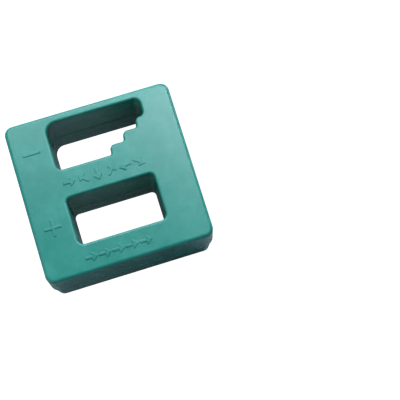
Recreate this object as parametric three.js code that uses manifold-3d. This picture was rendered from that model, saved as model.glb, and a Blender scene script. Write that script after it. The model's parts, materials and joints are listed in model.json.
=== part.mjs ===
// A block that magnetizes and demagnetizes small steel tools.
// Two moulded shells close around two flat ferrite magnets. Each shell has two openings right through it.
// Millimetres. The block lies on its rear face: Z is up through its thickness, X runs along the rows of
// marks on the front face, and Y runs from the base bar to the thin top bar.
// The origin is the middle of the rear face.

import * as THREE from 'three';
import { mergeVertices } from 'three/addons/utils/BufferGeometryUtils.js';
import Module from 'manifold-3d';

// ---- Driving dimensions ----

const WIDTH = 52;                // overall, at the seam between the shells
const HEIGHT = 50;               // overall, at the seam
const THICKNESS = 28.5;          // rear face to front face
const SEAM_Z = 12.35;            // where the two shells meet
const GAP = 0.3;                 // clearance between any two pieces

const FRONT_TAPER = 0.4;         // each outer wall leans in by this much from the seam to the front
const REAR_TAPER = 0.35;         // and by this much from the seam to the rear
const REAR_SIDE_INSET = 0.5;     // the rear shell stands back by this much on the left and on the right
const OUTER_CORNER = 3.1;        // plan radius of the front shell's outer corners at the seam
const REAR_CORNER = 2.8;         // and of the rear shell's
const FRONT_FILLET = 1.1;        // rounding of the front face's outer edge
const REAR_FILLET = 0.5;         // rounding of every edge on the rear face

const OPENING_HEIGHT = 14.6;     // both openings
const LEFT_BAR = 12.1;           // solid width left of both openings, on the front face
const PLUS_WIDTH = 27.1;         // lower, magnetizing opening
const MINUS_WIDTH = 29.6;        // upper, demagnetizing opening
const BASE_BAR = 8.7;            // bar below the lower opening
const CENTRE_BAR = 8.75;         // bar between the openings
const OPENING_FILLET = 0.65;     // rounding of the openings' front edges
const OPENING_FRONT_TAPER = 0.3; // an opening narrows by this much on each side, from front to seam
const OPENING_REAR_TAPER = 0.2;  // and widens again by this much from the seam to the rear

const STEP_COUNT = 3;            // stairs in the lower right of the upper opening
const STEP_RUN = 4.8;
const STEP_RISE = 2.97;
const LAST_TREAD = 3.1;          // from the last riser to the opening's right wall
const STEP_NOSE = 1.6;           // radius of each step's outer corner
const STEP_ROOT = 0.8;           // radius at the foot of each riser

const WALL = 1.5;                // thickness of outer walls and of the sleeves round the openings
const MAGNET_LENGTH = 40;
const MAGNET_THICKNESS = 5;
const MAGNET_DEPTH = 24;         // along Z
const MAGNET_BEVEL = 0.4;

const PIN_RADIUS = 1.2;
const PIN_HEIGHT = 4.5;          // above the seam
const BOSS_RADIUS = 2.7;
const TONGUE_THICKNESS = 0.8;
const TONGUE_HEIGHT = 1.2;
const STOP_THICKNESS = 1.4;      // cross ribs that hold the magnets endways

const MARK_RELIEF = 0.25;        // raised marks on the front face
const MARK_STROKE = 0.75;        // line width of the plus and minus signs
const SIGN_LENGTH = 5.2;
const SIGN_X = -19.4;
const SIGN_DROP = 0.2;           // signs sit this far below the middle of their opening
const ARROW_LENGTH = 3.8;
const ARROW_SHAFT = 0.8;
const ARROW_HEAD_LENGTH = 1.7;
const ARROW_HEAD_WIDTH = 3.0;
const MIXED_ARROWS = 6;          // row on the centre bar
const ALIGNED_ARROWS = 5;        // row on the base bar
const ROW_START = -12.9;
const MIXED_ROW_END = 12.5;
const ALIGNED_ROW_END = 7.5;
const GOLDEN_ANGLE = Math.PI * (3 - Math.sqrt(5));

const CORNER_STEPS = 5;          // flats on each rounded corner
const FILLET_STEPS = 4;          // flats on each rounded edge

// ---- Dimensions that follow ----

const FACE_WALL = (THICKNESS - MAGNET_DEPTH) / 2 - GAP;
const FRONT_HALF_WIDTH = WIDTH / 2 - FRONT_TAPER;
const FRONT_HALF_HEIGHT = HEIGHT / 2 - FRONT_TAPER;
const FRONT_CORNER = OUTER_CORNER - FRONT_TAPER;
const OPENING_LEFT = LEFT_BAR - FRONT_HALF_WIDTH;
const PLUS_BOTTOM = BASE_BAR - FRONT_HALF_HEIGHT;
const PLUS_TOP = PLUS_BOTTOM + OPENING_HEIGHT;
const PLUS_RIGHT = OPENING_LEFT + PLUS_WIDTH;
const MINUS_BOTTOM = PLUS_TOP + CENTRE_BAR;
const MINUS_TOP = MINUS_BOTTOM + OPENING_HEIGHT;
const MINUS_RIGHT = OPENING_LEFT + MINUS_WIDTH;
const INNER_HALF_WIDTH = FRONT_HALF_WIDTH - WALL;
const INNER_HALF_HEIGHT = FRONT_HALF_HEIGHT - WALL;
const SEAM_GROW = -OPENING_FRONT_TAPER;
const REAR_GROW = SEAM_GROW + OPENING_REAR_TAPER;
const CUT_PAST = 1;              // how far cutting shapes run past the faces that they cut

const wasm = await Module();
wasm.setup();

// ---- Outlines: lists of corners, anticlockwise, with straight sides along X and Y ----

function rectangle(left, bottom, right, top, radius) {
  return [
    { x: left, y: bottom, radius },
    { x: right, y: bottom, radius },
    { x: right, y: top, radius },
    { x: left, y: top, radius },
  ];
}

function block(halfWidth, halfHeight, radius) {
  return rectangle(-halfWidth, -halfHeight, halfWidth, halfHeight, radius);
}

function plusOpening() {
  const [topRadius, bottomRadius] = [1.5, 1.9];
  const corners = rectangle(OPENING_LEFT, PLUS_BOTTOM, PLUS_RIGHT, PLUS_TOP, bottomRadius);
  corners[2].radius = topRadius;
  corners[3].radius = topRadius;
  return corners;
}

// The lower right of this opening climbs in equal stairs up to the right wall.
function minusOpening() {
  const corners = [{ x: OPENING_LEFT, y: MINUS_BOTTOM, radius: 1.9 }];
  const firstRiser = MINUS_RIGHT - LAST_TREAD - (STEP_COUNT - 1) * STEP_RUN;
  for (let step = 0; step < STEP_COUNT; step += 1) {
    const x = firstRiser + step * STEP_RUN;
    const y = MINUS_BOTTOM + step * STEP_RISE;
    corners.push({ x, y, radius: STEP_ROOT });
    corners.push({ x, y: y + STEP_RISE, radius: STEP_NOSE });
  }
  corners.push({ x: MINUS_RIGHT, y: MINUS_BOTTOM + STEP_COUNT * STEP_RISE, radius: 1.6 });
  corners.push({ x: MINUS_RIGHT, y: MINUS_TOP, radius: 2 });
  corners.push({ x: OPENING_LEFT, y: MINUS_TOP, radius: 3.2 });
  return corners;
}

// Points of an outline whose sides are all moved outwards by grow, with each corner an arc.
function outlinePoints(corners, grow = 0) {
  const smallest = 0.15;
  const count = corners.length;
  const points = [];
  corners.forEach((corner, i) => {
    const before = corners[(i + count - 1) % count];
    const after = corners[(i + 1) % count];
    const arriving = new THREE.Vector2(corner.x - before.x, corner.y - before.y).normalize();
    const leaving = new THREE.Vector2(after.x - corner.x, after.y - corner.y).normalize();
    const turn = Math.sign(arriving.cross(leaving));
    const radius = Math.max(corner.radius + turn * grow, smallest);
    const centre = new THREE.Vector2(corner.x, corner.y)
      .addScaledVector(leaving, radius - turn * grow)
      .addScaledVector(arriving, turn * grow - radius);
    const start = Math.atan2(-turn * arriving.x, turn * arriving.y);
    for (let step = 0; step <= CORNER_STEPS; step += 1) {
      const angle = start + (turn * Math.PI / 2) * (step / CORNER_STEPS);
      points.push(new THREE.Vector2(
        centre.x + radius * Math.cos(angle),
        centre.y + radius * Math.sin(angle),
      ));
    }
  });
  return points;
}

// ---- Solids ----

// A closed mesh as a manifold-3d solid.
function solid(geometry) {
  const bare = geometry.clone();
  bare.deleteAttribute('normal');
  bare.deleteAttribute('uv');
  const merged = mergeVertices(bare);
  return new wasm.Manifold(new wasm.Mesh({
    numProp: 3,
    vertProperties: merged.attributes.position.array,
    triVerts: new Uint32Array(merged.index.array),
  }));
}

// An outline carried up through levels of {z, grow}, closed at both ends.
function loft(corners, levels) {
  const rings = levels.map(({ z, grow }) => ({ z, points: outlinePoints(corners, grow) }));
  const count = rings[0].points.length;
  const positions = rings.flatMap(({ z, points }) => points.flatMap((p) => [p.x, p.y, z]));
  const index = [];
  for (let level = 0; level + 1 < rings.length; level += 1) {
    for (let i = 0; i < count; i += 1) {
      const a = level * count + i;
      const b = level * count + (i + 1) % count;
      index.push(a, b, b + count, a, b + count, a + count);
    }
  }
  const top = (rings.length - 1) * count;
  for (const [a, b, c] of THREE.ShapeUtils.triangulateShape(rings[0].points, [])) {
    index.push(a, c, b);
  }
  for (const [a, b, c] of THREE.ShapeUtils.triangulateShape(rings.at(-1).points, [])) {
    index.push(top + a, top + b, top + c);
  }
  const geometry = new THREE.BufferGeometry();
  geometry.setAttribute('position', new THREE.Float32BufferAttribute(positions, 3));
  geometry.setIndex(index);
  return solid(geometry);
}

function prism(corners, bottom, top, grow = 0) {
  return loft(corners, [{ z: bottom, grow }, { z: top, grow }]);
}

function extruded(points, bottom, height) {
  const geometry = new THREE.ExtrudeGeometry(new THREE.Shape(points), {
    depth: height,
    bevelEnabled: false,
  });
  return solid(geometry.translate(0, 0, bottom));
}

function cylinder(x, y, radius, bottom, top) {
  const sides = 24;
  const geometry = new THREE.CylinderGeometry(radius, radius, top - bottom, sides);
  geometry.rotateX(Math.PI / 2);
  return solid(geometry.translate(x, y, (bottom + top) / 2));
}

function union(solids) {
  return solids.reduce((whole, next) => whole.add(next));
}

// Levels of a quarter-round edge that rises from grow to grow + flare as z goes to the face.
// A positive flare opens a hole out to its mouth, and a negative one rounds a block's edge over.
function filletLevels(face, radius, direction, grow, flareSign) {
  const levels = [];
  for (let step = 0; step <= FILLET_STEPS; step += 1) {
    const angle = (Math.PI / 2) * (step / FILLET_STEPS);
    levels.push({
      z: face - direction * radius * (1 - Math.sin(angle)),
      grow: grow + flareSign * radius * (1 - Math.cos(angle)),
    });
  }
  return levels;
}

// ---- Shapes shared by both shells ----

const OPENINGS = [plusOpening(), minusOpening()];
const OUTER = block(WIDTH / 2, HEIGHT / 2, OUTER_CORNER);
const REAR_OUTER = block(WIDTH / 2 - REAR_SIDE_INSET, HEIGHT / 2, REAR_CORNER);
const INNER = block(INNER_HALF_WIDTH, INNER_HALF_HEIGHT, FRONT_CORNER - WALL);

const PIN_PLACES = [
  [(OPENING_LEFT - WALL - INNER_HALF_WIDTH) / 2, 16],
  [(MINUS_RIGHT + WALL + INNER_HALF_WIDTH) / 2, 16],
  [(OPENING_LEFT - WALL - INNER_HALF_WIDTH) / 2, (PLUS_BOTTOM + PLUS_TOP) / 2],
  [(PLUS_RIGHT + WALL + INNER_HALF_WIDTH) / 2, (PLUS_BOTTOM + PLUS_TOP) / 2],
];

const CENTRE_CHANNEL_Y = PLUS_TOP + CENTRE_BAR / 2;
const BASE_CHANNEL_Y = -INNER_HALF_HEIGHT + GAP + MAGNET_THICKNESS / 2;

// Rails carry the openings' long walls on to the side walls, and stops hold the magnets endways.
function magnetChannels(bottom, top) {
  const halfChannel = MAGNET_THICKNESS / 2 + GAP;
  const rails = [
    rectangle(-INNER_HALF_WIDTH, BASE_CHANNEL_Y + halfChannel, INNER_HALF_WIDTH, PLUS_BOTTOM, 0),
    rectangle(-INNER_HALF_WIDTH, PLUS_TOP, INNER_HALF_WIDTH, CENTRE_CHANNEL_Y - halfChannel, 0),
    rectangle(-INNER_HALF_WIDTH, CENTRE_CHANNEL_Y + halfChannel, INNER_HALF_WIDTH, MINUS_BOTTOM, 0),
  ];
  const stopStart = MAGNET_LENGTH / 2 + GAP;
  const stops = [];
  for (const y of [CENTRE_CHANNEL_Y, BASE_CHANNEL_Y]) {
    const [low, high] = [y - halfChannel - WALL / 2, y + halfChannel + WALL / 2];
    stops.push(rectangle(stopStart, low, stopStart + STOP_THICKNESS, high, 0));
    stops.push(rectangle(-stopStart - STOP_THICKNESS, low, -stopStart, high, 0));
  }
  return union([...rails, ...stops].map((corners) => prism(corners, bottom, top)));
}

// Everything that fills the hollow of a shell between two heights.
function innerWalls(bottom, top) {
  const sleeves = OPENINGS.map((corners) => prism(corners, bottom, top, WALL));
  const bosses = PIN_PLACES.map(([x, y]) => cylinder(x, y, BOSS_RADIUS, bottom, top));
  return union([...sleeves, ...bosses, magnetChannels(bottom, top)]);
}

// A ring on the inside of the outer wall, thickened on each side by clearance.
function tongueRing(bottom, top, clearance) {
  const outside = prism(INNER, bottom, top, TONGUE_THICKNESS + clearance);
  return outside.subtract(prism(INNER, bottom - CUT_PAST, top + CUT_PAST, -clearance));
}

// ---- Front shell ----

function frontBody(bottom) {
  return loft(OUTER, [
    { z: bottom, grow: 0 },
    ...filletLevels(THICKNESS, FRONT_FILLET, 1, -FRONT_TAPER, -1),
  ]);
}

function frontOpening(corners) {
  return loft(corners, [
    { z: SEAM_Z - CUT_PAST, grow: SEAM_GROW },
    { z: SEAM_Z, grow: SEAM_GROW },
    ...filletLevels(THICKNESS, OPENING_FILLET, 1, 0, 1),
    { z: THICKNESS + CUT_PAST, grow: OPENING_FILLET },
  ]);
}

function sign(y, upright) {
  const [long, thin] = [SIGN_LENGTH / 2, MARK_STROKE / 2];
  const bottom = THICKNESS - CUT_PAST;
  const height = CUT_PAST + MARK_RELIEF;
  const bar = (halfX, halfY) => {
    const corners = [[-halfX, -halfY], [halfX, -halfY], [halfX, halfY], [-halfX, halfY]];
    return extruded(corners.map(([dx, dy]) => new THREE.Vector2(SIGN_X + dx, y + dy)), bottom, height);
  };
  return upright ? bar(long, thin).add(bar(thin, long)) : bar(long, thin);
}

function arrow(x, y, angle) {
  const tip = ARROW_LENGTH / 2;
  const neck = tip - ARROW_HEAD_LENGTH;
  const half = ARROW_SHAFT / 2;
  const barb = ARROW_HEAD_WIDTH / 2;
  const points = [
    [-tip, -half], [neck, -half], [neck, -barb], [tip, 0], [neck, barb], [neck, half], [-tip, half],
  ].map(([along, across]) => new THREE.Vector2(along, across)
    .rotateAround(new THREE.Vector2(), angle)
    .add(new THREE.Vector2(x, y)));
  return extruded(points, THICKNESS - CUT_PAST, CUT_PAST + MARK_RELIEF);
}

function arrowRow(count, end, y, angleOf) {
  const first = ROW_START + ARROW_LENGTH / 2;
  const pitch = (end - ROW_START - ARROW_LENGTH) / (count - 1);
  const arrows = [];
  for (let i = 0; i < count; i += 1) {
    arrows.push(arrow(first + i * pitch, y, angleOf(i)));
  }
  return union(arrows);
}

// A plus by the opening that magnetizes, over a row of arrows that all point one way, and a minus by
// the opening that demagnetizes, over a row of arrows that point every way.
function marks() {
  return union([
    sign((PLUS_BOTTOM + PLUS_TOP) / 2 - SIGN_DROP, true),
    sign((MINUS_BOTTOM + MINUS_TOP) / 2 - SIGN_DROP, false),
    arrowRow(MIXED_ARROWS, MIXED_ROW_END, CENTRE_CHANNEL_Y, (i) => i * GOLDEN_ANGLE),
    arrowRow(ALIGNED_ARROWS, ALIGNED_ROW_END, BASE_CHANNEL_Y, () => 0),
  ]);
}

function frontShell() {
  const bottom = SEAM_Z + GAP / 2;
  const ceiling = THICKNESS - FACE_WALL;
  const socketDepth = PIN_HEIGHT + GAP;
  const hollow = prism(INNER, bottom - CUT_PAST, ceiling)
    .subtract(innerWalls(bottom - 2 * CUT_PAST, ceiling + CUT_PAST));
  const sockets = PIN_PLACES.map(([x, y]) => (
    cylinder(x, y, PIN_RADIUS + GAP, bottom - CUT_PAST, SEAM_Z + socketDepth)));
  const groove = tongueRing(bottom - CUT_PAST, SEAM_Z + TONGUE_HEIGHT + GAP, GAP);
  return frontBody(bottom)
    .subtract(hollow)
    .subtract(union(OPENINGS.map(frontOpening)))
    .subtract(union(sockets))
    .subtract(groove)
    .add(marks());
}

// ---- Rear shell ----

function rearBody(top) {
  return loft(REAR_OUTER, [
    ...filletLevels(0, REAR_FILLET, -1, -REAR_TAPER, -1).reverse(),
    { z: top, grow: 0 },
  ]);
}

function rearOpening(corners) {
  return loft(corners, [
    { z: -CUT_PAST, grow: REAR_GROW + REAR_FILLET },
    ...filletLevels(0, REAR_FILLET, -1, REAR_GROW, 1).reverse(),
    { z: SEAM_Z, grow: SEAM_GROW },
    { z: SEAM_Z + TONGUE_HEIGHT + CUT_PAST, grow: SEAM_GROW },
  ]);
}

function rearShell() {
  const top = SEAM_Z - GAP / 2;
  const hollow = prism(INNER, FACE_WALL, top + CUT_PAST)
    .subtract(innerWalls(FACE_WALL - CUT_PAST, top + 2 * CUT_PAST));
  const pins = PIN_PLACES.map(([x, y]) => (
    cylinder(x, y, PIN_RADIUS, top - CUT_PAST, SEAM_Z + PIN_HEIGHT)));
  const tongue = tongueRing(top - CUT_PAST, SEAM_Z + TONGUE_HEIGHT, 0);
  return rearBody(top)
    .subtract(hollow)
    .add(tongue)
    .subtract(union(OPENINGS.map(rearOpening)))
    .add(union(pins));
}

// ---- Magnets ----

function magnet(y) {
  const [halfLength, halfThickness] = [MAGNET_LENGTH / 2, MAGNET_THICKNESS / 2];
  const corners = rectangle(-halfLength, y - halfThickness, halfLength, y + halfThickness, MAGNET_BEVEL);
  const bottom = FACE_WALL + GAP;
  const top = bottom + MAGNET_DEPTH;
  return loft(corners, [
    { z: bottom, grow: -MAGNET_BEVEL / 2 },
    { z: bottom + MAGNET_BEVEL / 2, grow: 0 },
    { z: top - MAGNET_BEVEL / 2, grow: 0 },
    { z: top, grow: -MAGNET_BEVEL / 2 },
  ]);
}

// ---- The assembly ----

function part(name, shape, material) {
  const { vertProperties, triVerts } = shape.getMesh();
  const geometry = new THREE.BufferGeometry();
  geometry.setAttribute('position', new THREE.BufferAttribute(vertProperties, 3));
  geometry.setIndex(new THREE.BufferAttribute(triVerts, 1));
  geometry.computeVertexNormals();
  const mesh = new THREE.Mesh(geometry, material);
  mesh.name = name;
  return mesh;
}

const greenPlastic = new THREE.MeshStandardMaterial({ color: 0x3a9c90, roughness: 0.55, metalness: 0 });
const ferrite = new THREE.MeshStandardMaterial({ color: 0x35363a, roughness: 0.7, metalness: 0.1 });

const demagnetizer = new THREE.Group();
demagnetizer.add(
  part('front_shell', frontShell(), greenPlastic),
  part('rear_shell', rearShell(), greenPlastic),
  part('centre_magnet', magnet(CENTRE_CHANNEL_Y), ferrite),
  part('base_magnet', magnet(BASE_CHANNEL_Y), ferrite),
);

export default demagnetizer;
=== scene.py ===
"""Looks of a block that magnetizes and demagnetizes small steel tools.

The two moulded shells are built again with fine edges, and the two ferrite magnets inside stay as packed.
Lengths are in millimetres until an object is made, and MM turns them into metres. Z is up through the
block's thickness, X runs along the rows of marks, and Y runs from the base bar to the thin top bar.
"""

import json
import math

import bmesh
import bpy
from mathutils import Matrix, Vector


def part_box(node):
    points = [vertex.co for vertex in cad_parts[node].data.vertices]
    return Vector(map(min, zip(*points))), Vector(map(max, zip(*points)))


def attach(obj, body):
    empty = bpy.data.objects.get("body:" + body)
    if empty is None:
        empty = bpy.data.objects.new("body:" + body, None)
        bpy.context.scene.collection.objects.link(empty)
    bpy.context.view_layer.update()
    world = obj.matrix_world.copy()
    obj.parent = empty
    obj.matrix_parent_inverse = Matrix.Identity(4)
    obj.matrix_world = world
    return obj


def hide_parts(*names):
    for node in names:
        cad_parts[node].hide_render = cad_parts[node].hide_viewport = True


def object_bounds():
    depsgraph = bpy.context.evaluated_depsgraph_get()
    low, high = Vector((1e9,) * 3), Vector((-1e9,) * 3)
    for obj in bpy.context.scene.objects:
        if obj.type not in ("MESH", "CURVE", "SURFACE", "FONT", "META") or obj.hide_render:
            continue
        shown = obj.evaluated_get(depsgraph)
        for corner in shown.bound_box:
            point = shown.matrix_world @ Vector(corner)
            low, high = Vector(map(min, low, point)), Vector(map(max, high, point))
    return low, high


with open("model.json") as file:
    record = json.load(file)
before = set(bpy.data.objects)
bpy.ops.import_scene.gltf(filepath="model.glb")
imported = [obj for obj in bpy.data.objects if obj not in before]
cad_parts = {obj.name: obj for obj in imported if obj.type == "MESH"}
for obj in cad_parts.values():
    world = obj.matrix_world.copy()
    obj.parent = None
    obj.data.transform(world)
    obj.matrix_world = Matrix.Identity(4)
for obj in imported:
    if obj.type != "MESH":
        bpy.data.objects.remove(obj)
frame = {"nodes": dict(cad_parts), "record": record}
cad_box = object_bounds()

MM = 0.001

# ---- Sizes that the frame gives ----

MOUNTS = {mount["name"]: mount for mount in frame["record"]["mounts"]}
HALF_WIDTH = cad_box[1].x / MM               # at the seam
HALF_HEIGHT = cad_box[1].y / MM
FACE_Z = MOUNTS["front_face"]["pos_m"][2] / MM
MARK_TOP = cad_box[1].z / MM
CAD_GAP = 0.3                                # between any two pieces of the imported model
SEAM_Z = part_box("front_shell")[0].z / MM - CAD_GAP / 2
PIN_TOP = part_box("rear_shell")[1].z / MM
MAGNETS = [[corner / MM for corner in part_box(name)] for name in ("centre_magnet", "base_magnet")]
FACE_WALL = MAGNETS[0][0].z - CAD_GAP

# ---- Driving dimensions of the mouldings ----

FRONT_TAPER = 0.4          # each outer wall leans in by this much from the seam to the front
REAR_TAPER = 0.35          # and by this much from the seam to the rear
REAR_SIDE_INSET = 0.5      # the rear shell stands back by this much on the left and on the right
OUTER_CORNER = 3.1         # plan radius of the front shell's outer corners at the seam
REAR_CORNER = 2.8          # and of the rear shell's
FRONT_FILLET = 1.1         # rounding of the front face's outer edge
REAR_FILLET = 0.5          # rounding of every edge on the rear face
SEAM_FILLET = 0.3          # rounding of both shells' edges at the seam
SEAM_GAP = 0.12            # hairline left between the closed shells

OPENING_HEIGHT = 14.6      # both openings
LEFT_BAR = 12.1            # solid width left of both openings, on the front face
PLUS_WIDTH = 27.1          # lower, magnetizing opening
MINUS_WIDTH = 29.6         # upper, demagnetizing opening
BASE_BAR = 8.7             # bar below the lower opening
CENTRE_BAR = 8.75          # bar between the openings
OPENING_FILLET = 0.65      # rounding of the openings' front edges
OPENING_FRONT_TAPER = 0.3  # an opening narrows by this much on each side, from front to seam
OPENING_REAR_TAPER = 0.2   # and widens again by this much from the seam to the rear

STEP_COUNT = 3             # stairs in the lower right of the upper opening
STEP_RUN = 4.8
STEP_RISE = 2.97
LAST_TREAD = 3.1           # from the last riser to the opening's right wall
STEP_NOSE = 1.6            # radius of each step's outer corner
STEP_ROOT = 0.8            # radius at the foot of each riser

WALL = 1.5                 # thickness of outer walls and of the sleeves round the openings
PIN_RADIUS = 1.2
PIN_CHAMFER = 0.4
BOSS_RADIUS = 2.7
TONGUE_THICKNESS = 0.8
TONGUE_HEIGHT = 1.2
STOP_THICKNESS = 1.4       # cross ribs that hold the magnets endways

MARK_STROKE = 0.75         # line width of the plus and minus signs
MARK_EDGE = 0.1            # rounding along the top and the foot of every raised mark
SIGN_LENGTH = 5.2
SIGN_X = -19.4
SIGN_DROP = 0.2            # signs sit this far below the middle of their opening
ARROW_LENGTH = 3.8
ARROW_SHAFT = 0.8
ARROW_HEAD_LENGTH = 1.7
ARROW_HEAD_WIDTH = 3.0
MIXED_ARROWS = 6           # row on the centre bar
ALIGNED_ARROWS = 5         # row on the base bar
ROW_START = -12.9
MIXED_ROW_END = 12.5
ALIGNED_ROW_END = 7.5
GOLDEN_ANGLE = math.pi * (3 - math.sqrt(5))

ARC_STEP = math.radians(6)  # turn between neighbouring points of a rounded corner
FILLET_STEPS = 12           # flats on each rounded edge
SMALLEST_RADIUS = 0.15
CUT_PAST = 1                # how far cutting shapes run past the faces that they cut
FLOOR_DROP = 0.1            # the floor lies this far under the rear face, clear of it

# ---- Dimensions that follow ----

FRONT_HALF_WIDTH = HALF_WIDTH - FRONT_TAPER
FRONT_HALF_HEIGHT = HALF_HEIGHT - FRONT_TAPER
OPENING_LEFT = LEFT_BAR - FRONT_HALF_WIDTH
PLUS_BOTTOM = BASE_BAR - FRONT_HALF_HEIGHT
PLUS_TOP = PLUS_BOTTOM + OPENING_HEIGHT
PLUS_RIGHT = OPENING_LEFT + PLUS_WIDTH
MINUS_BOTTOM = PLUS_TOP + CENTRE_BAR
MINUS_TOP = MINUS_BOTTOM + OPENING_HEIGHT
MINUS_RIGHT = OPENING_LEFT + MINUS_WIDTH
INNER_HALF_WIDTH = FRONT_HALF_WIDTH - WALL
INNER_HALF_HEIGHT = FRONT_HALF_HEIGHT - WALL
INNER_RADIUS = OUTER_CORNER - FRONT_TAPER - WALL
SEAM_GROW = -OPENING_FRONT_TAPER
REAR_GROW = SEAM_GROW + OPENING_REAR_TAPER
FRONT_BOTTOM = SEAM_Z + SEAM_GAP / 2
REAR_TOP = SEAM_Z - SEAM_GAP / 2


# ---- Outlines: lists of (x, y, radius) corners, anticlockwise ----

def rectangle(left, bottom, right, top, radius=SMALLEST_RADIUS):
    return [(left, bottom, radius), (right, bottom, radius), (right, top, radius), (left, top, radius)]


def block(half_width, half_height, radius):
    return rectangle(-half_width, -half_height, half_width, half_height, radius)


def plus_opening():
    top_radius, bottom_radius = 1.5, 1.9
    return [
        (OPENING_LEFT, PLUS_BOTTOM, bottom_radius),
        (PLUS_RIGHT, PLUS_BOTTOM, bottom_radius),
        (PLUS_RIGHT, PLUS_TOP, top_radius),
        (OPENING_LEFT, PLUS_TOP, top_radius),
    ]


def minus_opening():
    """The lower right of this opening climbs in equal stairs up to the right wall."""
    bottom_left_radius, top_left_radius, top_right_radius, last_tread_radius = 1.9, 3.2, 2, 1.6
    corners = [(OPENING_LEFT, MINUS_BOTTOM, bottom_left_radius)]
    first_riser = MINUS_RIGHT - LAST_TREAD - (STEP_COUNT - 1) * STEP_RUN
    for step in range(STEP_COUNT):
        x = first_riser + step * STEP_RUN
        y = MINUS_BOTTOM + step * STEP_RISE
        corners.append((x, y, STEP_ROOT))
        corners.append((x, y + STEP_RISE, STEP_NOSE))
    corners.append((MINUS_RIGHT, MINUS_BOTTOM + STEP_COUNT * STEP_RISE, last_tread_radius))
    corners.append((MINUS_RIGHT, MINUS_TOP, top_right_radius))
    corners.append((OPENING_LEFT, MINUS_TOP, top_left_radius))
    return corners


def outline_points(corners, grow=0.0):
    """Points of an outline whose sides are all moved outwards by grow, with each corner an arc."""
    points = []
    for i, (x, y, radius) in enumerate(corners):
        here = Vector((x, y))
        arriving = (here - Vector(corners[i - 1][:2])).normalized()
        leaving = (Vector(corners[(i + 1) % len(corners)][:2]) - here).normalized()
        out_before = Vector((arriving.y, -arriving.x))
        out_after = Vector((leaving.y, -leaving.x))
        sweep = math.atan2(arriving.cross(leaving), arriving.dot(leaving))
        turn = math.copysign(1, sweep)
        arc_radius = max(radius + turn * grow, SMALLEST_RADIUS)
        mitre = (out_before + out_after) / (1 + out_before.dot(out_after))
        centre = here + mitre * (grow - turn * arc_radius)
        steps = max(2, round(abs(sweep) / ARC_STEP))
        for step in range(steps + 1):
            spoke = Matrix.Rotation(sweep * step / steps, 2) @ out_before
            points.append(centre + spoke * turn * arc_radius)
    return points


# ---- Solids ----

def make_object(name, mesh_builder):
    """A new object whose mesh is made from mesh_builder, in metres, and the builder is freed."""
    bmesh.ops.scale(mesh_builder, vec=(MM, MM, MM), verts=mesh_builder.verts)
    bmesh.ops.recalc_face_normals(mesh_builder, faces=mesh_builder.faces)
    mesh = bpy.data.meshes.new(name)
    mesh_builder.to_mesh(mesh)
    mesh_builder.free()
    made = bpy.data.objects.new(name, mesh)
    bpy.context.scene.collection.objects.link(made)
    return made


def loft(corners, levels):
    """An outline carried up through levels of (z, grow), closed at both ends."""
    builder = bmesh.new()
    rings = []
    for z, grow in levels:
        rings.append([builder.verts.new((p.x, p.y, z)) for p in outline_points(corners, grow)])
    for below, above in zip(rings, rings[1:]):
        for i in range(len(below)):
            builder.faces.new((below[i - 1], below[i], above[i], above[i - 1]))
    builder.faces.new(reversed(rings[0]))
    builder.faces.new(rings[-1])
    return make_object("loft", builder)


def prism(corners, bottom, top, grow=0.0):
    return loft(corners, [(bottom, grow), (top, grow)])


def turned(x, y, profile):
    """A round solid about an upright axis through (x, y), from its (radius, z) profile upwards."""
    sides = 48
    builder = bmesh.new()
    rings = []
    for radius, z in profile:
        angles = [2 * math.pi * i / sides for i in range(sides)]
        rings.append([builder.verts.new((x + radius * math.cos(a), y + radius * math.sin(a), z))
                      for a in angles])
    for below, above in zip(rings, rings[1:]):
        for i in range(sides):
            builder.faces.new((below[i - 1], below[i], above[i], above[i - 1]))
    builder.faces.new(reversed(rings[0]))
    builder.faces.new(rings[-1])
    return make_object("turned", builder)


def apply_modifiers(piece):
    depsgraph = bpy.context.evaluated_depsgraph_get()
    old = piece.data
    piece.data = bpy.data.meshes.new_from_object(piece.evaluated_get(depsgraph), depsgraph=depsgraph)
    piece.modifiers.clear()
    bpy.data.meshes.remove(old)


def combine(body, operation, tools):
    """Joins every tool to body, or cuts it from body, and removes the tools."""
    for tool in tools:
        modifier = body.modifiers.new(operation, "BOOLEAN")
        modifier.operation = operation
        modifier.solver = "MANIFOLD"
        modifier.object = tool
        apply_modifiers(body)
        bpy.data.objects.remove(tool)
    return body


def join(tools):
    return combine(tools[0], "UNION", tools[1:])


def cut(body, *tools):
    return combine(body, "DIFFERENCE", tools)


def fillet_levels(face, radius, direction, grow, flare_sign):
    """Levels of a quarter-round edge that rises from grow to grow + flare as z goes to the face.

    A positive flare opens a hole out to its mouth, and a negative one rounds a block's edge over."""
    levels = []
    for step in range(FILLET_STEPS + 1):
        angle = math.pi / 2 * step / FILLET_STEPS
        z = face - direction * radius * (1 - math.sin(angle))
        levels.append((z, grow + flare_sign * radius * (1 - math.cos(angle))))
    return levels


# ---- Shapes shared by both shells ----

OPENINGS = [plus_opening(), minus_opening()]
OUTER = block(HALF_WIDTH, HALF_HEIGHT, OUTER_CORNER)
REAR_OUTER = block(HALF_WIDTH - REAR_SIDE_INSET, HALF_HEIGHT, REAR_CORNER)
INNER = block(INNER_HALF_WIDTH, INNER_HALF_HEIGHT, INNER_RADIUS)


def pin_places():
    left = (OPENING_LEFT - WALL - INNER_HALF_WIDTH) / 2
    low_y = (PLUS_BOTTOM + PLUS_TOP) / 2
    high_y = 16
    return [
        (left, high_y),
        ((MINUS_RIGHT + WALL + INNER_HALF_WIDTH) / 2, high_y),
        (left, low_y),
        ((PLUS_RIGHT + WALL + INNER_HALF_WIDTH) / 2, low_y),
    ]


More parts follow.
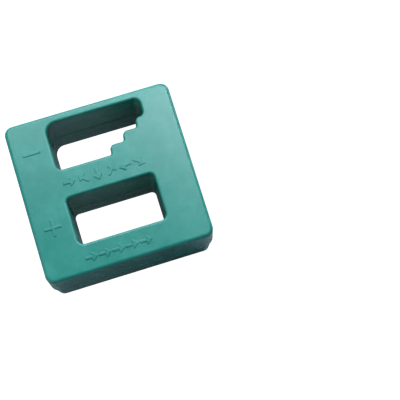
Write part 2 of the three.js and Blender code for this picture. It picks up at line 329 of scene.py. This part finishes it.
def magnet_channels(bottom, top):
    """Rails carry the openings' long walls on to the side walls, and stops hold the magnets endways."""
    shapes = []
    for low, high in MAGNETS:
        channel_low, channel_high = low.y - CAD_GAP, high.y + CAD_GAP
        rail_above = min(y for y in (PLUS_BOTTOM, MINUS_BOTTOM) if y > channel_high)
        shapes.append(rectangle(-INNER_HALF_WIDTH, channel_high, INNER_HALF_WIDTH, rail_above))
        if channel_low > PLUS_TOP:
            shapes.append(rectangle(-INNER_HALF_WIDTH, PLUS_TOP, INNER_HALF_WIDTH, channel_low))
        for side in (-1, 1):
            ends = sorted((side * (high.x + CAD_GAP), side * (high.x + CAD_GAP + STOP_THICKNESS)))
            shapes.append(rectangle(ends[0], channel_low - WALL / 2, ends[1], channel_high + WALL / 2))
    return [prism(corners, bottom, top) for corners in shapes]


def inner_walls(bottom, top):
    """Everything that fills the hollow of a shell between two heights."""
    sleeves = [prism(corners, bottom, top, WALL) for corners in OPENINGS]
    bosses = [turned(x, y, [(BOSS_RADIUS, bottom), (BOSS_RADIUS, top)]) for x, y in pin_places()]
    return join([*sleeves, *bosses, *magnet_channels(bottom, top)])


def tongue_ring(bottom, top, clearance):
    """A ring on the inside of the outer wall, thickened on each side by clearance."""
    outside = prism(INNER, bottom, top, TONGUE_THICKNESS + clearance)
    return cut(outside, prism(INNER, bottom - CUT_PAST, top + CUT_PAST, -clearance))


# ---- Front shell ----

def front_body():
    return loft(OUTER, [
        *reversed(fillet_levels(FRONT_BOTTOM, SEAM_FILLET, -1, 0, -1)),
        *fillet_levels(FACE_Z, FRONT_FILLET, 1, -FRONT_TAPER, -1),
    ])


def front_opening(corners):
    return loft(corners, [
        (FRONT_BOTTOM - CUT_PAST, SEAM_GROW + SEAM_FILLET),
        *reversed(fillet_levels(FRONT_BOTTOM, SEAM_FILLET, -1, SEAM_GROW, 1)),
        *fillet_levels(FACE_Z, OPENING_FILLET, 1, 0, 1),
        (FACE_Z + CUT_PAST, OPENING_FILLET),
    ])


def raised_mark(corners):
    """A mark that stands on the front face, with a rounded foot and a rounded top."""
    foot = []
    for step in range(FILLET_STEPS // 2 + 1):
        angle = math.pi / 2 * step / (FILLET_STEPS // 2)
        foot.append((FACE_Z + MARK_EDGE * (1 - math.cos(angle)), MARK_EDGE * (1 - math.sin(angle))))
    return loft(corners, [
        (FACE_Z - CUT_PAST, MARK_EDGE),
        *foot,
        *fillet_levels(MARK_TOP, MARK_EDGE, 1, 0, -1)[::2],
    ])


def sign(y, upright):
    long, thin = SIGN_LENGTH / 2, MARK_STROKE / 2
    if not upright:
        return raised_mark(rectangle(SIGN_X - long, y - thin, SIGN_X + long, y + thin))
    quarter = [(long, -thin), (long, thin), (thin, thin)]
    corners = []
    for turns in range(4):
        for point in quarter:
            turned_point = Matrix.Rotation(math.pi / 2 * turns, 2) @ Vector(point)
            corners.append((SIGN_X + turned_point.x, y + turned_point.y, SMALLEST_RADIUS))
    return raised_mark(corners)


def arrow(x, y, angle):
    tip = ARROW_LENGTH / 2
    neck = tip - ARROW_HEAD_LENGTH
    half = ARROW_SHAFT / 2
    barb = ARROW_HEAD_WIDTH / 2
    shape = [(-tip, -half), (neck, -half), (neck, -barb), (tip, 0), (neck, barb), (neck, half), (-tip, half)]
    corners = []
    for point in shape:
        placed = Matrix.Rotation(angle, 2) @ Vector(point) + Vector((x, y))
        corners.append((placed.x, placed.y, SMALLEST_RADIUS))
    return raised_mark(corners)


def arrow_row(count, end, y, angle_of):
    first = ROW_START + ARROW_LENGTH / 2
    pitch = (end - ROW_START - ARROW_LENGTH) / (count - 1)
    return [arrow(first + i * pitch, y, angle_of(i)) for i in range(count)]


def marks():
    """A plus by the opening that magnetizes, over a row of arrows that all point one way, and a minus by
    the opening that demagnetizes, over a row of arrows that point every way."""
    centre_y, base_y = [(low.y + high.y) / 2 for low, high in MAGNETS]
    return [
        sign((PLUS_BOTTOM + PLUS_TOP) / 2 - SIGN_DROP, True),
        sign((MINUS_BOTTOM + MINUS_TOP) / 2 - SIGN_DROP, False),
        *arrow_row(MIXED_ARROWS, MIXED_ROW_END, centre_y, lambda i: i * GOLDEN_ANGLE),
        *arrow_row(ALIGNED_ARROWS, ALIGNED_ROW_END, base_y, lambda i: 0),
    ]


def front_shell():
    ceiling = FACE_Z - FACE_WALL
    hollow = cut(
        prism(INNER, FRONT_BOTTOM - CUT_PAST, ceiling),
        inner_walls(FRONT_BOTTOM - 2 * CUT_PAST, ceiling + CUT_PAST),
    )
    socket_radius = PIN_RADIUS + CAD_GAP
    sockets = [turned(x, y, [
        (socket_radius + PIN_CHAMFER, FRONT_BOTTOM - CUT_PAST),
        (socket_radius + PIN_CHAMFER, FRONT_BOTTOM),
        (socket_radius, FRONT_BOTTOM + PIN_CHAMFER),
        (socket_radius, PIN_TOP + CAD_GAP),
    ]) for x, y in pin_places()]
    groove = tongue_ring(FRONT_BOTTOM - CUT_PAST, SEAM_Z + TONGUE_HEIGHT + CAD_GAP, CAD_GAP)
    shell = cut(front_body(), hollow, *[front_opening(corners) for corners in OPENINGS], *sockets, groove)
    return join([shell, *marks()])


# ---- Rear shell ----

def rear_body():
    return loft(REAR_OUTER, [
        *reversed(fillet_levels(0, REAR_FILLET, -1, -REAR_TAPER, -1)),
        *fillet_levels(REAR_TOP, SEAM_FILLET, 1, 0, -1),
    ])


def rear_opening(corners):
    return loft(corners, [
        (-CUT_PAST, REAR_GROW + REAR_FILLET),
        *reversed(fillet_levels(0, REAR_FILLET, -1, REAR_GROW, 1)),
        *fillet_levels(REAR_TOP, SEAM_FILLET, 1, SEAM_GROW, 1),
        (REAR_TOP + TONGUE_HEIGHT + CUT_PAST, SEAM_GROW + SEAM_FILLET),
    ])


def rear_shell():
    hollow = cut(
        prism(INNER, FACE_WALL, REAR_TOP + CUT_PAST),
        inner_walls(FACE_WALL - CUT_PAST, REAR_TOP + 2 * CUT_PAST),
    )
    pins = [turned(x, y, [
        (PIN_RADIUS, REAR_TOP - CUT_PAST),
        (PIN_RADIUS, PIN_TOP - PIN_CHAMFER),
        (PIN_RADIUS - PIN_CHAMFER, PIN_TOP),
    ]) for x, y in pin_places()]
    shell = join([cut(rear_body(), hollow), tongue_ring(REAR_TOP - CUT_PAST, SEAM_Z + TONGUE_HEIGHT, 0)])
    return join([cut(shell, *[rear_opening(corners) for corners in OPENINGS]), *pins])


def finish_shell(shell, name):
    """Names a shell, makes its rounded edges shade smoothly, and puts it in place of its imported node."""
    shell.name = name + "_moulding"
    shell.data.name = shell.name
    shell.data.shade_smooth()
    shell.data.set_sharp_from_angle(angle=math.radians(35))
    weighted = shell.modifiers.new("weighted", "WEIGHTED_NORMAL")
    weighted.keep_sharp = True
    apply_modifiers(shell)
    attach(shell, "root")
    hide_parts(name)
    return shell


# ---- Materials ----

class Nodes:
    """Short calls that add and join nodes of one material."""

    def __init__(self, name):
        self.material = bpy.data.materials.new(name)
        self.material.use_nodes = True
        self.tree = self.material.node_tree
        self.tree.nodes.clear()

    def add(self, kind, **settings):
        node = self.tree.nodes.new(kind)
        for key, value in settings.items():
            setattr(node, key, value)
        return node

    def link(self, source, target):
        self.tree.links.new(source, target)

    def noise(self, feature, detail=2.0, roughness=0.5):
        """Noise over the object's own coordinates, with features about this many millimetres across."""
        node = self.add("ShaderNodeTexNoise")
        node.inputs["Scale"].default_value = 1 / (feature * MM)
        node.inputs["Detail"].default_value = detail
        node.inputs["Roughness"].default_value = roughness
        self.link(self.place.outputs["Object"], node.inputs["Vector"])
        return node.outputs["Fac"]

    def remap(self, source, from_low, from_high, to_low, to_high):
        node = self.add("ShaderNodeMapRange")
        node.inputs["From Min"].default_value = from_low
        node.inputs["From Max"].default_value = from_high
        node.inputs["To Min"].default_value = to_low
        node.inputs["To Max"].default_value = to_high
        self.link(source, node.inputs["Value"])
        return node.outputs["Result"]

    def mix(self, factor, first, second):
        node = self.add("ShaderNodeMix", data_type="RGBA")
        self.link(factor, node.inputs["Factor"])
        inputs = [socket for socket in node.inputs if socket.type == "RGBA"]
        for socket, value in zip(inputs, (first, second)):
            if isinstance(value, tuple):
                socket.default_value = (*value, 1)
            else:
                self.link(value, socket)
        return next(socket for socket in node.outputs if socket.type == "RGBA")

    def math(self, operation, first, second):
        node = self.add("ShaderNodeMath", operation=operation)
        for socket, value in zip(node.inputs, (first, second)):
            if isinstance(value, (int, float)):
                socket.default_value = value
            else:
                self.link(value, socket)
        return node.outputs["Value"]

    def bump(self, height, distance, under=None):
        """Relief whose height runs over this many millimetres."""
        node = self.add("ShaderNodeBump")
        node.inputs["Strength"].default_value = 1
        node.inputs["Distance"].default_value = distance * MM
        self.link(height, node.inputs["Height"])
        if under:
            self.link(under, node.inputs["Normal"])
        return node.outputs["Normal"]

    def shader(self):
        self.place = self.add("ShaderNodeTexCoord")
        shader = self.add("ShaderNodeBsdfPrincipled")
        output = self.add("ShaderNodeOutputMaterial")
        self.link(shader.outputs["BSDF"], output.inputs["Surface"])
        return shader


def moulded_plastic():
    """Green plastic with a fine spark-eroded grain, faint flow mottling, a patchy haze from handling and
    slightly polished edges."""
    nodes = Nodes("green_plastic")
    shader = nodes.shader()
    flow = nodes.remap(nodes.noise(9, 3), 0.35, 0.65, 0, 1)
    speckle = nodes.remap(nodes.noise(0.5, 3), 0.35, 0.65, 0, 1)
    haze = nodes.remap(nodes.noise(3.2, 6, 0.62), 0.42, 0.68, 0, 1)
    tint = nodes.mix(flow, (0.018, 0.268, 0.212), (0.026, 0.310, 0.248))
    speckled = nodes.mix(nodes.math("MULTIPLY", speckle, 0.35), tint, (0.048, 0.340, 0.282))
    colour = nodes.mix(nodes.math("MULTIPLY", haze, 0.22), speckled, (0.100, 0.420, 0.370))
    nodes.link(colour, shader.inputs["Base Color"])

    grain = nodes.noise(0.16, 4, 0.6)
    normal = nodes.add("ShaderNodeNewGeometry")
    split = nodes.add("ShaderNodeSeparateXYZ")
    nodes.link(normal.outputs["Normal"], split.inputs["Vector"])
    upright = nodes.math("ABSOLUTE", split.outputs["Z"], 0)
    slope = nodes.math("MULTIPLY", upright, nodes.math("SUBTRACT", 1, upright))
    edge = nodes.remap(slope, 0.10, 0.24, 0, 1)
    matt = nodes.remap(grain, 0.3, 0.7, 0.21, 0.27)
    polished = nodes.math("SUBTRACT", matt, nodes.math("MULTIPLY", edge, 0.04))
    nodes.link(nodes.math("ADD", polished, nodes.math("MULTIPLY", flow, 0.03)), shader.inputs["Roughness"])

    relief = nodes.bump(grain, 0.012)
    nodes.link(nodes.bump(nodes.noise(1.6, 2), 0.012, under=relief), shader.inputs["Normal"])
    shader.inputs["Specular IOR Level"].default_value = 0.5
    shader.inputs["IOR"].default_value = 1.53
    return nodes.material


def sintered_ferrite():
    """Dark grey pressed ceramic, with a dusty grain and a few ground patches."""
    nodes = Nodes("ferrite")
    shader = nodes.shader()
    grain = nodes.noise(0.25, 4, 0.65)
    patches = nodes.remap(nodes.noise(5, 3), 0.4, 0.6, 0, 1)
    dust = nodes.mix(nodes.remap(grain, 0.35, 0.7, 0, 1), (0.022, 0.022, 0.025), (0.060, 0.060, 0.066))
    nodes.link(nodes.mix(patches, dust, (0.042, 0.043, 0.048)), shader.inputs["Base Color"])
    nodes.link(nodes.remap(patches, 0, 1, 0.75, 0.5), shader.inputs["Roughness"])
    nodes.link(nodes.bump(grain, 0.03), shader.inputs["Normal"])
    return nodes.material


def give(piece, material):
    piece.data.materials.clear()
    piece.data.materials.append(material)


# ---- Stage, light and camera ----

def floor_material():
    """Pale enough that the floor stays white under the object."""
    material = bpy.data.materials.new("pale_floor")
    material.use_nodes = True
    shader = material.node_tree.nodes["Principled BSDF"]
    shader.inputs["Base Color"].default_value = (0.82, 0.82, 0.82, 1)
    shader.inputs["Roughness"].default_value = 0.9
    shader.inputs["Specular IOR Level"].default_value = 0.1
    shader.inputs["Emission Color"].default_value = (1, 1, 1, 1)
    shader.inputs["Emission Strength"].default_value = 1.1
    return material


def bounce_material():
    """Dim light from the floor on to the object's walls, stronger towards the far left."""
    nodes = Nodes("bounce")
    shader = nodes.shader()
    shader.inputs["Base Color"].default_value = (0.4, 0.42, 0.46, 1)
    shader.inputs["Emission Color"].default_value = (0.95, 0.95, 1.15, 1)
    split = nodes.add("ShaderNodeSeparateXYZ")
    nodes.link(nodes.place.outputs["Object"], split.inputs["Vector"])
    along = nodes.remap(split.outputs["X"], -0.04, 0.04, 0.115, 0)
    across = nodes.remap(split.outputs["Y"], -0.04, 0.04, -0.045, 0.045)
    glow = nodes.math("MAXIMUM", nodes.math("ADD", along, across), 0)
    nodes.link(glow, shader.inputs["Emission Strength"])
    return nodes.material


def bowl(name, profile):
    """A surface turned about the upright axis from its (radius, z) profile, with a flat middle."""
    sides = 96
    builder = bmesh.new()
    rings = []
    for radius, z in profile:
        angles = [2 * math.pi * i / sides for i in range(sides)]
        rings.append([builder.verts.new((radius * math.cos(a), radius * math.sin(a), z)) for a in angles])
    builder.faces.new(rings[0])
    for below, above in zip(rings, rings[1:]):
        for i in range(sides):
            builder.faces.new((below[i - 1], below[i], above[i], above[i - 1]))
    made = make_object(name, builder)
    made.data.shade_smooth()
    return made


def stage():
    """A round pale floor that turns up into a wall far away, which only the camera sees, and a grey one a
    little above it, which the camera doesn't see, for the light that a real bench throws back."""
    flat, turn, height = 1500, 900, 2500
    bounce = bowl("bounce", [(flat * share, -FLOOR_DROP / 2) for share in (0.02, 0.3, 1)])
    bounce.data.materials.append(bounce_material())
    bounce.visible_camera = False
    profile = [(flat * share, -FLOOR_DROP) for share in (0.02, 0.3, 1)]
    profile += [(flat + turn * math.sin(a), turn * (1 - math.cos(a)))
                for a in [math.pi / 2 * i / 16 for i in range(1, 17)]]
    profile.append((flat + turn, height))
    floor = bowl("floor", profile)
    floor.data.materials.append(floor_material())
    floor.visible_diffuse = False
    floor.visible_glossy = False
    floor.visible_shadow = False


def soft_light(name, azimuth, elevation, distance, size, power, colour=(1, 1, 1)):
    """A square light that looks at the block from this far off, in millimetres and watts."""
    data = bpy.data.lights.new(name, "AREA")
    data.size = size * MM
    data.energy = power
    data.color = colour
    light = bpy.data.objects.new(name, data)
    bpy.context.scene.collection.objects.link(light)
    back = direction(azimuth, elevation)
    light.location = (Vector((0, 0, FACE_Z)) + back * distance) * MM
    light.rotation_mode = "QUATERNION"
    light.rotation_quaternion = (-back).to_track_quat("-Z", "Y")


def direction(azimuth, elevation):
    """Out from the block, in degrees. Azimuth 0 is the near side, -Y, and 90 is the right side, +X."""
    a, e = math.radians(azimuth), math.radians(elevation)
    return Vector((math.sin(a) * math.cos(e), -math.cos(a) * math.cos(e), math.sin(e)))


def lights():
    """A key light beyond the far right corner, a second beyond the far side, and dimmer ones all round."""
    cool = (0.84, 1, 1.08)
    soft_light("key", 138, 64, 550, 200, 1.34, cool)
    soft_light("far_left", 193, 58, 550, 270, 1.08, cool)
    soft_light("far_low", 168, 37, 600, 320, 0.75, cool)
    soft_light("far_rim", 180, 14, 1100, 1000, 3.6, cool)
    soft_light("right_rim", 118, 14, 1100, 500, 2.6, cool)
    soft_light("left_rim", 262, 35, 1100, 500, 0.6, cool)
    soft_light("near_left", 308, 20, 350, 160, 0.095, cool)
    soft_light("near", 0, 28, 1100, 500, 0.08, cool)
    world = bpy.data.worlds.new("room")
    world.use_nodes = True
    background = world.node_tree.nodes["Background"]
    background.inputs["Color"].default_value = (0.9, 0.95, 1.0, 1)
    background.inputs["Strength"].default_value = 0.01
    bpy.context.scene.world = world


def camera():
    """Looks steeply down at the front face from the near left, aimed near the face's right edge."""
    aim = Vector((24.33, -13.53, FACE_Z))
    distance = 308.8
    back = direction(-23.35, 78.80)
    roll = math.radians(6.02)
    level_right = Vector((0, 0, 1)).cross(back).normalized()
    level_up = back.cross(level_right)
    right = math.cos(roll) * level_right + math.sin(roll) * level_up
    data = bpy.data.cameras.new("camera")
    data.sensor_width = 36
    data.lens = 94
    data.clip_start = 0.01
    placed = bpy.data.objects.new("camera", data)
    bpy.context.scene.collection.objects.link(placed)
    placed.matrix_world = Matrix.Translation((aim + back * distance) * MM) @ Matrix(
        (right, back.cross(right), back)).transposed().to_4x4()
    bpy.context.scene.camera = placed
    bpy.context.scene.view_settings.view_transform = "Standard"


camera()
lights()
stage()

plastic = moulded_plastic()
ferrite = sintered_ferrite()
for shell, node in ((front_shell(), "front_shell"), (rear_shell(), "rear_shell")):
    give(finish_shell(shell, node), plastic)
for node in ("centre_magnet", "base_magnet"):
    give(frame["nodes"][node], ferrite)
